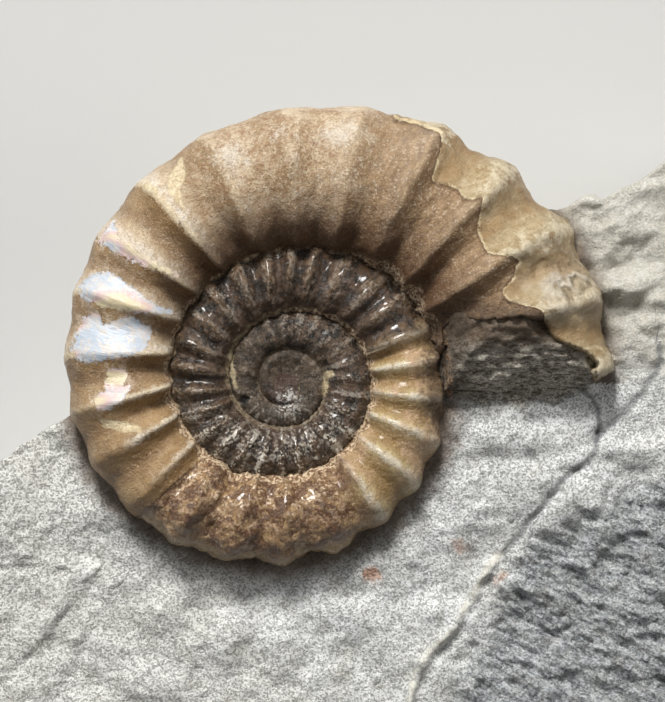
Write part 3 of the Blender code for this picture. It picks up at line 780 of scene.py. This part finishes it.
def shell_surface(angle, share, side):
    """Places on one side of the shell. The section is an ellipse from the seam, share 0, to the
    outer edge, share 1, and everything raised on it is added square to it."""
    outer, inner = outer_radius(angle), seam_radius(angle - 360)
    half = (outer - inner) / (1 + math.cos(seam_bend))
    thick = width_to_height * (outer - inner) / 2
    bend = seam_bend + share * (math.pi - seam_bend)
    ribs, beside = rib_shape(angle, share)
    to_edge = ease(share, 0.62, 0.95)
    inner_fade = ease(share, 0.06, 0.62) + 0.25
    flank = np.interp(angle, rib_angles, flank_heights) * ease(share, -0.04, 0.2)
    flank = flank * np.where(angle < -20, np.minimum(inner_fade, 1), 1)
    edge = np.interp(angle, rib_angles, edge_heights)
    arc = np.radians(angle) * outer
    walk = half * bend * side
    scale = np.clip(half / 4, 0.1, 1)
    uneven = 1 + 0.30 * rough(0.6 * arc, walk + 7, 1.5, 2, 195)
    size = (flank * (1 - to_edge) + edge * to_edge) * uneven
    height = size * (ribs - 0.42)
    height += scale * 0.06 * rough(arc, walk, 2.6, 3, 201)
    height += 0.030 * rough(arc, walk, 0.9, 4, 206) * scale
    mottled = ease(angle, 52, 80) * ease(-angle, -139, -136.5)
    height += mottled * 0.12 * rough(arc, walk, 0.9, 3, 211)
    dull = ease(-angle, 15, 50)
    height += dull * (0.02 + 0.10 * scale) * rough(arc, walk, 0.36, 4, 221)
    height += 0.015 * rough(2.5 * arc, walk, 0.6, 3, 231) * (angle > 0)
    crusted = np.interp(angle, *zip(*crust_heights))
    outer_seam = np.where(angle < mouth_angle - 360, np.abs(seam_share - share), 9)
    to_seam = np.minimum(share, outer_seam) * 3.6 * half
    crumbs = 0.6 + 0.7 * rough(arc, walk, 0.42, 3, 241)
    height += crusted * scale * 0.24 * mound(to_seam, 0.3 + 0.2 * scale) * crumbs
    radius = outer - half - (half + height) * np.cos(bend)
    level = side * (thick + height) * np.sin(bend)
    turned = -np.radians(angle)
    return np.stack([radius * np.cos(turned), radius * np.sin(turned), level], axis=-1), ribs, beside


def shell_side(rows, side, start):
    """Points and faces of one side. Each whorl is a grid of its own, whose first row is the
    last row of the whorl inside it. The next whorl has as many rows or twice as many, and its
    first column meets the last one of this whorl with quads, or three triangles to a row."""
    angles = mouth_angle - 360 * whorls + 360 * np.arange(columns * whorls + 1) / columns
    grids, places, ribs, flanks, spots, cells = [], [], [], [], [], []
    for w, count in enumerate(rows):
        shares = seam_share * np.arange(count + 1) / count
        last = w == whorls - 1
        angle = angles[w * columns:(w + 1) * columns + last]
        first_row = 0 if w == 0 else 1
        place, rib, beside = shell_surface(angle[:, None], shares[None, first_row:], side)
        grid = np.empty((len(angle), count + 1), int)
        grid[:, first_row:] = start + np.arange(place[..., 0].size).reshape(place.shape[:2])
        start += place[..., 0].size
        if w > 0:
            grid[:columns, 0] = grids[-1][:columns, -1]
        if last:
            grid[-1, 0] = grid[0, -1]
        grids.append(grid)
        places.append(place.reshape(-1, 3))
        ribs.append(rib.ravel())
        flanks.append(beside.ravel())
        spot = np.stack(np.broadcast_arrays(angle[:, None] / 360, shares[None]), axis=-1)
        spots.append(spot)
        cells.append(squares(grid, spot))
    for w in range(whorls - 1):
        here, there = grids[w][-1], grids[w + 1][0]
        spot_here, spot_there = spots[w][-1], spots[w + 1][0]
        if len(here) == len(there):
            cells.append(squares(np.stack([here, there]), np.stack([spot_here, spot_there])))
            continue
        two, spot_two = there[0:-1:2], spot_there[0:-1:2]
        for corners, where in (
            ((here[:-1], there[1::2], two), (spot_here[:-1], spot_there[1::2], spot_two)),
            ((here[:-1], here[1:], there[1::2]), (spot_here[:-1], spot_here[1:], spot_there[1::2])),
            ((here[1:], there[2::2], there[1::2]), (spot_here[1:], spot_there[2::2], spot_there[1::2])),
        ):
            cells.append((np.stack(corners, axis=1), np.stack(where, axis=1)))
    if side < 0:
        cells = [(corners[:, ::-1], where[:, ::-1]) for corners, where in cells]
    return grids, places, ribs, flanks, cells


def squares(grid, spot):
    """Quads between the neighbours of a grid, with the place of each corner on the coil."""
    def corners(table):
        return np.stack([table[:-1, :-1], table[:-1, 1:], table[1:, 1:], table[1:, :-1]], axis=2)
    return corners(grid).reshape(-1, 4), corners(spot).reshape(-1, 4, 2)


count = 0
sides, places, ribs, steep, cells = [], [], [], [], []
for rows, side in ((top_rows, 1), (under_rows, -1)):
    grids, *made = shell_side(rows, side, count)
    sides.append(grids)
    for table, more in zip((places, ribs, steep, cells), made):
        table += more
    count = sum(len(p) for p in places)
top, under = sides

# The outer edge of the last whorl, from the upper side round to the lower one
angle = mouth_angle - 360 + 360 * np.arange(columns + 1)[:, None] / columns
step = np.arange(1, edge_rows)[None] / edge_rows
share = seam_share + (1 - seam_share) * (1 - np.abs(1 - 2 * step))
upper, band_rib, band_flank = shell_surface(angle, share, 1)
lower = shell_surface(angle, share, -1)[0]
band_place = np.where((step <= 0.5)[..., None], upper, lower)
band = np.empty((columns + 1, edge_rows + 1), int)
band[:, 0] = top[-1][:, -1]
band[:, -1] = under[-1][:, -1]
band[:, 1:-1] = count + np.arange(band_rib.size).reshape(band_rib.shape)
count += band_rib.size
at_seam = np.full_like(angle, seam_share)
band_share = np.concatenate([at_seam, share + 0 * angle, at_seam], axis=1)
cells.append(squares(band, np.stack([band_share * 0 + angle / 360, band_share], axis=-1)))

# Fans close the mouth and the middle of each side
mouth = np.concatenate([top[-1][-1], band[-1, 1:-1], under[-1][-1][::-1], band[0, 1:-1][::-1]])
fans = [(mouth, 1.0, False)]
for grid, flip in ((top[0], False), (under[0], True)):
    fans.append((np.concatenate([grid[:, 0], grid[0, ::-1]])[:-1], -3.0, flip))
for middle, (rim, turns, flip) in enumerate(fans, count):
    fan = np.stack([np.full(len(rim), middle), rim, np.roll(rim, -1)], axis=1)
    cells.append((fan[:, ::-1] if flip else fan, np.full((len(rim), 3, 2), (turns, 0.5))))
mouth_middle = (band_place[0, edge_rows // 2] + band_place[-1, edge_rows // 2]) / 2
middles = np.array([mouth_middle, (0, 0, 0.02), (0, 0, -0.02)])

places = np.concatenate(places + [band_place.reshape(-1, 3), middles])
ribs = np.concatenate(ribs + [band_rib.ravel(), np.zeros(3)])
steep = np.concatenate(steep + [band_flank.ravel(), np.zeros(3)])
faces = [face for corners, where in cells for face in corners.tolist()]
corner_spots = np.concatenate([where.reshape(-1, 2) for corners, where in cells])

# What the camera sees of a raised place lies a little outside it, so outlines are compared there
x, y, z = places.T
above = camera_height / (camera_height - z)
eye = np.array(camera_spot) - coil[:2]
seen_x = eye[0] + (x - eye[0]) * above
seen_y = eye[1] + (y - eye[1]) * above
outward = np.hypot(x, y)

flap = np.where(outward > 7.2, inside(seen_x, seen_y, flap_outline), -9)
pearl = np.max([inside(seen_x, seen_y, outline) for outline in pearl_outlines], axis=0)
pearl = np.where((z > -1.5) & (outward > 5.9), pearl, -9)
cream = np.max([inside(seen_x, seen_y, outline) for outline in cream_outlines], axis=0)
cream = np.where(z > -0.3, cream, -9)

# The middle is a smooth shallow bowl with a raised rim
from_middle = np.hypot(x - bowl_middle[0], y - bowl_middle[1])
bowl = 0.24 + 0.26 * (from_middle / 1.1) ** 2
bowl += 0.03 * rough(x, y, 0.35, 2, 296)
rim = 0.10 * mound(from_middle - bowl_radius, 0.12)
middle_share = ease(-from_middle, -1.45, -1.05) * (z > 0)
z[:] = z * (1 - middle_share) + (bowl + rim) * middle_share

# The outer shell layer stands on the rest, with soft wrinkles near the mouth. Mother-of-pearl
# lies a little deeper, and the dark inner whorls have a pit.
lift = layer_thickness * ease(flap, -0.03, 0.10)
wrinkle = mound(seen_x - wrinkle_middle[0], 1.7) * mound(seen_y - wrinkle_middle[1], 1.3)
waves = rough(seen_x * 0.8 + seen_y * 0.6, seen_y - 0.8 * seen_x, 0.8, 3, 301)
lift += 0.20 * wrinkle * waves * (flap > 0)
lift += 0.07 * rough(seen_x + seen_y, 0.5 * (seen_y - seen_x), 0.7, 3, 306) * (flap > 0)
lift -= 0.04 * ease(pearl, -0.15, 0.05)
to_pit = (x - pit[0]) ** 2 + (y - pit[1]) ** 2
lift -= 0.35 * np.exp(-to_pit / 0.05) * (z > 0)
spread = np.maximum(np.hypot(x, y), 1e-6)
lean = np.clip(1 - np.abs(z) / 4.2, 0, 1) ** 0.5
x += lift * lean * x / spread
y += lift * lean * y / spread
z += lift * (1 - lean**2) ** 0.5 * np.sign(z)

# The broken mouth: past its edge the shell is gone, down to below the mud and the block
torn = 0.26 * rough(x, y, 0.9, 4, 311)
torn *= 1 - 0.8 * ease(x, 12.0, 13.5)
gone = ease(inside(x, y, mouth_outline) + torn, -0.10, 0.08)
bed = np.minimum(z, block_height(x, y) - 0.45)
z[:] = z * (1 - gone) + bed * gone

shell = solid_object("ammonite", places, faces)
layer = shell.data.uv_layers.new(name="coil")
layer.data.foreach_set("uv", corner_spots.astype(np.float32).ravel())
in_mouth = inside(seen_x, seen_y, mouth_outline)
paint_on(shell, rib=ribs, steep=steep, wrinkle=wrinkle)
paint_on(shell, mouth=in_mouth, flap=flap, pearl=pearl, cream=cream)

glaze = Finish("honey_calcite")
place = glaze.millimetres()
coil_map = glaze.node("ShaderNodeUVMap", {"uv_map": "coil"}, {})
turn = glaze.part(coil_map, 0) * 360
across = glaze.part(coil_map, 1)
rib = glaze.attribute("rib")
steep = glaze.attribute("steep")
cloud = glaze.noise(place, 0.55, 5, 0.6)
blotch = glaze.noise(place, 1.7, 5, 0.65)
wisps = glaze.noise(glaze.millimetres((1.0, 0.55, 1.0)), 2.6, 5, 0.8)
speck = glaze.noise(place, 5.0, 4, 0.7)
fine = glaze.noise(place, 11.0, 3, 0.75)
tone = glaze.grains(place, 9.0)
growth_map = glaze.scaled(coil_map, (360, 9, 0))
growth = glaze.noise(growth_map, 0.9, 4, 0.7)

# Honey-brown calcite on the ribs' steep sides, darker there as painted shade, milky on their gentle sides
# with a painted sheen, painted highlights and pale worn lines on the crests, painted shade in the grooves
honey = glaze.mix(cloud.step(0.34, 0.66), (132, 98, 54), (174, 138, 88)).tinted(
    (growth.step(0.48, 0.34) * 0.4, 104, 74, 38),
)
milky_sheen = glaze.mix(blotch.step(0.36, 0.62), (218, 198, 168), (176, 148, 112)).tinted(
    (growth.step(0.50, 0.66) * 0.5, 228, 206, 172),
    (speck.step(0.55, 0.68) * 0.5, 140, 108, 72),
)
milky_sheen_share = (turn + (cloud - 0.5) * 40).step(176, 205) * 0.6 + 0.25
# Painted highlight: pale light on the gentle sides next to the crests.
crest_highlight = (rib + (blotch - 0.5) * 0.9).step(0.25, 0.85) * (1 - steep)
crest_highlight = crest_highlight * (turn + (cloud - 0.5) * 40).step(180, 204)
# Painted highlight: a whitish shine on the crests near the seam.
shine = (rib + (wisps - 0.5) * 1.4).step(0.72, 1.0) * (across + (blotch - 0.5) * 0.3).step(0.62, 0.40)
shine = shine * turn.step(140, 150) * turn.step(192, 178)
# Painted shade: the rib grooves darkened brown.
groove_shade = (rib + (cloud - 0.5) * 0.4).step(0.35, 0.0) * turn.step(138, 142) * turn.step(292, 262)
# Pale lines on the crests: partly wear, partly painted highlight.
worn_and_highlit_crest = (rib + (speck - 0.5) * 0.35).step(0.84, 0.97) * turn.step(160, 190) * blotch.step(0.34, 0.50)
# Steep sides honey brown, gentle sides milky: partly the calcite's own colours, partly painted shade and
# painted sheen.
colour = glaze.mix((1 - steep) * milky_sheen_share, honey, milky_sheen).tinted(
    (crest_highlight * 0.5, 228, 212, 188),
    (crest_highlight * wisps.step(0.46, 0.54) * 0.7, 248, 240, 226),
    (shine * 0.7, 246, 236, 216),
    (groove_shade * 0.5, 116, 82, 42),
    (worn_and_highlit_crest * 0.8, 242, 224, 188),
)

# Sugary crystals on the top of the last whorl, with painted highlight spots
sugary = (turn + (cloud - 0.5) * 30).step(232, 258) * turn.step(300, 288)
# The steep sides are darker as painted shade, and the pale wisps are painted highlights.
sugar_colour = glaze.mix(steep * 0.55, (200, 172, 136), (150, 116, 74)).tinted(
    (tone.step(0.55, 0.95) * 0.45, 244, 230, 204),
    (tone.step(0.4, 0.05) * 0.45, 128, 98, 64),
    (speck.step(0.52, 0.66) * 0.45, 140, 106, 72),
    (blotch.step(0.46, 0.60) * 0.45, 158, 126, 88),
    (cloud.step(0.50, 0.62) * 0.4, 236, 220, 194),
    (wisps.step(0.54, 0.64) * 0.4, 250, 240, 222),
)
freckled = sugary * blotch.step(0.48, 0.62) * across.step(0.35, 0.6)
colour = glaze.mix(sugary * 0.85, colour, sugar_colour)
colour = colour.tinted((freckled * speck.step(0.44, 0.58) * 0.5, 146, 92, 56))
# Painted highlights: whitish spots where the softbox gleams on the top of the whorl.
for spot, size in painted_highlight_spots:
    reach = glaze.distance(place, coil + (*spot, 2.8))
    highlight_spot = (reach + (wisps - 0.5) * 3.6 + (speck - 0.5) * 2.0).step(size, size * 0.1)
    colour = colour.tinted((highlight_spot * 0.7, 236, 228, 214))

# Brown satin towards the mouth, and painted shade on the inner flank
satin = turn.step(284, 298)
satin_tone = (growth * 0.5 + blotch * 0.5).step(0.40, 0.60)
# Steep sides darker: honey brown and painted shade. Pale specks: crystals with painted glints.
satin_colour = glaze.mix(satin_tone, (124, 92, 54), (174, 142, 104)).tinted(
    (cloud.step(0.52, 0.64) * 0.6, 116, 86, 54),
    (steep * 0.75, 106, 76, 44),
    ((tone + (wisps - 0.5)).step(0.84, 1.02) * 0.45, 236, 222, 200),
)
# Painted shade: the inner flank under the top of the last whorl darkened brown.
inner_flank_shade = (across + (blotch - 0.5) * 0.25).step(0.50, 0.14) * turn.step(190, 240)
colour = glaze.mix(satin * 0.85, colour, satin_colour).tinted((inner_flank_shade * 0.88, 86, 52, 23))

# Olive honey where the last whorl starts, with painted shade in the rib grooves, lighter crests and painted
# white highlights along them, and pinkish crystals in places
olive = turn.step(-32, -14) * turn.step(84, 56)
# Painted shading: darker in the rib grooves, lighter on the crests; the white streaks are painted
# highlights.
olive_painted_shading = (rib + (blotch - 0.5) * 0.8).step(0.15, 0.75)
olive_colour = glaze.mix(olive_painted_shading, (156, 126, 74), (206, 184, 136)).tinted(
    (blotch.step(0.48, 0.60) * 0.6, 156, 122, 74),
    ((rib + (wisps - 0.5) * 1.6).step(0.75, 1.0) * 0.75, 246, 238, 218),
)
grainy = olive * (cloud + (speck - 0.5) * 0.4).step(0.47, 0.57)
colour = glaze.mix(olive * 0.9, colour, olive_colour)
colour = colour.tinted((grainy * (0.35 + 0.4 * tone.step(0.3, 0.8)), 212, 178, 146))

# Mottled brown crystals round the front of the last whorl, up to the break, and a fine grain
to_break = (turn + (speck - 0.5) * 3).step(break_angle + 0.5, break_angle - 0.5)
mottled = (turn + (cloud - 0.5) * 30).step(46, 66) * to_break
inner_part = (across + (blotch - 0.5) * 0.5).step(0.62, 0.2)
pale_grains = (tone + (blotch - 0.5)).step(0.5, 1.0) * (inner_part * 0.6 + 0.3)
rim_glow = (across + (blotch - 0.5) * 0.16).step(0.76, 0.88)
stained = (glaze.noise(place, 1.05, 3, 0.6) + (speck - 0.5) * 0.2).step(0.48, 0.55)
stained = stained * (1 - rim_glow * 0.7)
mottle_tone = (blotch * 0.6 + speck * 0.4).step(0.40, 0.58)
mottle_colour = glaze.mix(mottle_tone, (182, 148, 104), (118, 82, 48)).tinted(
    (pale_grains, 240, 214, 182),
    (tone.step(0.3, 0.0) * 0.35, 92, 58, 32),
    (rim_glow * 0.6, 196, 168, 122),
    (stained * 0.85, 84, 48, 22),
    (stained * tone.step(0.75, 1.0) * 0.35, 190, 146, 98),
)
split = abs(turn - break_angle + (speck - 0.5) * 3).step(0.5, 0.15)
colour = glaze.mix(mottled, colour, mottle_colour).tinted(
    (split * 0.8, 64, 40, 20),
    (fine.step(0.50, 0.62) * 0.30, 112, 74, 36),
    (fine.step(0.46, 0.36) * 0.25, 244, 222, 180),
)

# Dark inner whorls with painted glints along the ribs and in patches at the front, a pit darkened
# as painted shade, and painted glitter in the middle
dark = (turn + (cloud - 0.5) * 14 + (blotch - 0.5) * 14).step(-14, -28)
to_front = glaze.part(place, 1).step(4.4, 1.0)
on_crest = (rib + (blotch - 0.5) * 0.9).step(0.45, 0.95) * turn.step(-380, -300)
raised = (rib + (blotch - 0.5) * 1.1).step(0.30, 0.80)
glinting = glaze.noise(growth_map, 0.22, 5, 0.75) * 0.7 + tone * 0.15 + speck * 0.15
glinting = glinting + (fine - 0.5) * 0.25
# Painted highlights: glints along the ribs and in patches, brighter towards the front where the light
# falls.
painted_glints = glinting.step(0.50, 0.57) * (raised * 0.7 + 0.15) * (to_front * 0.75 + 0.25)
patchy_glints = (speck + (tone - 0.5) * 0.3).step(0.53, 0.62) * to_front * across.step(0.66, 0.4)
innermost = turn.step(-350, -400)
# Painted shade: the pit is nearly black.
pit_shade = (glaze.distance(place, coil + pit) + speck * 0.2).step(0.45, 0.25)
# Painted glitter: pale sparkles in the middle.
painted_glitter = (glaze.distance(place, coil + painted_glitter_spot) + (speck - 0.5) * 2.0).step(0.8, 0.3)
painted_glitter = painted_glitter * (fine + (tone - 0.5) * 0.3).step(0.46, 0.54)
deep = glaze.mix(blotch.step(0.38, 0.62), (33, 21, 9), (86, 58, 29)).tinted(
    (on_crest * 0.4, 126, 97, 58),
    (patchy_glints * 0.6, 214, 204, 186),
    (innermost * fine.step(0.52, 0.62) * blotch.step(0.42, 0.58) * 0.6, 166, 152, 130),
    (painted_glints, 240, 234, 220),
    (glinting.step(0.48, 0.40) * 0.85, 14, 9, 5),
    (blotch.step(0.46, 0.36) * innermost * 0.6, 20, 13, 8),
    (across.step(0.42, 0.2) * turn.step(-340, -300) * 0.6, 72, 50, 32),
    (turn.step(-430, -520) * 0.3, 98, 86, 70),
    (turn.step(-880, -960) * 0.6, 74, 44, 30),
    (pit_shade, 14, 10, 8),
    (painted_glitter * 0.8, 236, 234, 228),
)
colour = glaze.mix(dark, colour, deep)

# Granular mud in the seams
stops = [(where, (width, width, width, 1)) for where, width in crust_widths]
crust_width = glaze.node("ShaderNodeValToRGB", {"stops": stops}, {0: (turn - first_angle) / (360 * whorls)})
edge_noise = (speck - 0.5) * 0.12 + (blotch - 0.5) * 0.08
crusted = (across + edge_noise - crust_width * 0.12).step(0.03, -0.01)
outer_crust = (across + edge_noise * 0.7).step(0.80, 0.825) * turn.step(3, 1) * turn.step(-420, -330)
crusted = glaze.maths("MAXIMUM", crusted, outer_crust * crust_width.step(0.2, 0.9))
inner_crust = turn.step(-60, -120)
crust_tone = (tone + (speck - 0.5)).step(0.2, 0.8)
crust_colour = glaze.mix(crust_tone, (126, 92, 60), (236, 212, 178))
crust_colour = crust_colour.tinted((inner_crust * 0.6, 150, 138, 108))
crust_share = crusted * turn.step(-760, -700) * (0.85 - inner_crust * to_front * 0.7)
colour = glaze.mix(crust_share, colour, crust_colour)

# The tan outer layer, with painted shade in its rib grooves and on the steep sides and painted highlights
# in pale patches towards the crests, its edges pale and worn, with a painted shadow line beside them
flap = glaze.attribute("flap") + (speck - 0.5) * 0.16
wrinkle = glaze.attribute("wrinkle")
tan = flap.step(-0.01, 0.03)
folds = abs(glaze.noise(place, 0.42, 2, 0.5) - 0.5)
tan_colour = glaze.mix(cloud.step(0.36, 0.64), (166, 140, 98), (202, 184, 146)).tinted(
    (growth.step(0.50, 0.66) * 0.5, 226, 212, 180),
    (speck.step(0.52, 0.66) * 0.45, 150, 120, 78),
    # Painted shade in the rib grooves and on the steep sides.
    ((rib + (blotch - 0.5) * 0.6).step(0.45, 0.0) * 0.65, 148, 112, 62),
    (steep * 0.55, 144, 106, 60),
    (fine.step(0.52, 0.66) * 0.35, 136, 104, 66),
    # Painted highlights: pale patches towards the crests.
    ((blotch + (rib - 0.5) * 0.3).step(0.54, 0.66) * 0.6, 236, 225, 198),
    (wrinkle * 0.5, 196, 182, 160),
    (folds.step(0.05, 0.0) * wrinkle * 0.7, 240, 232, 216),
    (flap.step(0.16, 0.04) * blotch.step(0.42, 0.56) * 0.8, 244, 224, 182),
)
shade_line = flap.step(-0.14, -0.02) * (1 - tan)
colour = glaze.mix(tan, colour, tan_colour).tinted((shade_line * 0.5, 100, 66, 36))

# Cream patches, then mother-of-pearl with a thin haze round each patch, partly thin pearl and partly
# painted sheen
cream = glaze.attribute("cream") + (speck - 0.5) * 0.3 + (blotch - 0.5) * 0.35 + 0.04
cream = cream.step(-0.04, 0.08)
cream_colour = glaze.mix(speck.step(0.4, 0.6), (240, 226, 190), (206, 184, 144))
colour = glaze.mix(cream * 0.85, colour, cream_colour)
pearl = glaze.attribute("pearl") + (blotch - 0.5) * 0.6 + (speck - 0.5) * 0.8 + 0.08
pearly = pearl.step(-0.02, 0.03)
hue = glaze.noise(glaze.millimetres((0.5, 1.3, 1.0)), 0.55, 1, 0.4)
stops = [(where, srgb(*tint)) for where, tint in pearl_tints]
pearl_colour = glaze.node("ShaderNodeValToRGB", {"stops": stops}, {0: hue})
pearl_colour = pearl_colour.tinted((speck.step(0.56, 0.68) * 0.3, 214, 202, 186))
# A thin haze round each patch: partly thin pearl, partly painted sheen.
haze_and_sheen = pearl.step(-0.7, -0.02) * wisps.step(0.48, 0.58)
colour = glaze.mix(pearly, colour, pearl_colour).tinted((haze_and_sheen * 0.5, 224, 206, 184))

# Mud clings to the shell round the broken mouth
muddy = glaze.attribute("mouth") + (blotch - 0.5) * 2.4 + (speck - 0.5) * 0.7
muddy = muddy.step(-1.3, -0.3) * (1 - tan)
mud_colour = glaze.mix(speck.step(0.4, 0.6), (108, 84, 58), (64, 45, 30))
colour = glaze.mix(muddy * 0.85, colour, mud_colour)

# Varnish, dull where the crystals are dry, with bumps from coarse to fine
dry = sugary * 0.8 + satin * 0.2 + tan * 0.35 + crusted + muddy
dry = glaze.maths("MINIMUM", dry, 1.0)
matt = blotch.step(0.42, 0.62)
roughness = 0.22 + matt * 0.14 + speck * 0.08 + dry * 0.18 + crusted * 0.3 + muddy * 0.3
wet = glaze.maths("MAXIMUM", mottled, dark * turn.step(-440, -340) + olive * 0.6)
smooth = 1 - pearly * 0.8
sparkle = tone * (0.2 + sugary * 0.5 + mottled * 0.6 + dark * 1.5 + crusted + satin * 0.3 + muddy)
relief = glaze.bump(blotch * smooth, 0.16, 0.8)
relief = glaze.bump(growth, 0.08, 0.8, relief)
relief = glaze.bump(speck * smooth, 0.10, 0.9, relief)
relief = glaze.bump((sparkle + fine * 1.6) * smooth, 0.05, 0.9, relief)
relief = glaze.bump(folds.step(0.12, 0.0) * tan * (wrinkle + 0.1), 0.25, 1.0, relief)
relief = glaze.bump(tan + pearly * 0.3 + cream * 0.3, 0.05, 0.7, relief)
glaze.shade({
    "Base Color": colour,
    "Roughness": roughness,
    "Specular IOR Level": 0.75,
    "Coat Weight": (1 - dry) * wet * 0.4,
    "Coat Roughness": 0.13,
    "Normal": relief,
})
shell.data.materials.append(glaze.material)

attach(shell, "root")
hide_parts("ammonite_shell")
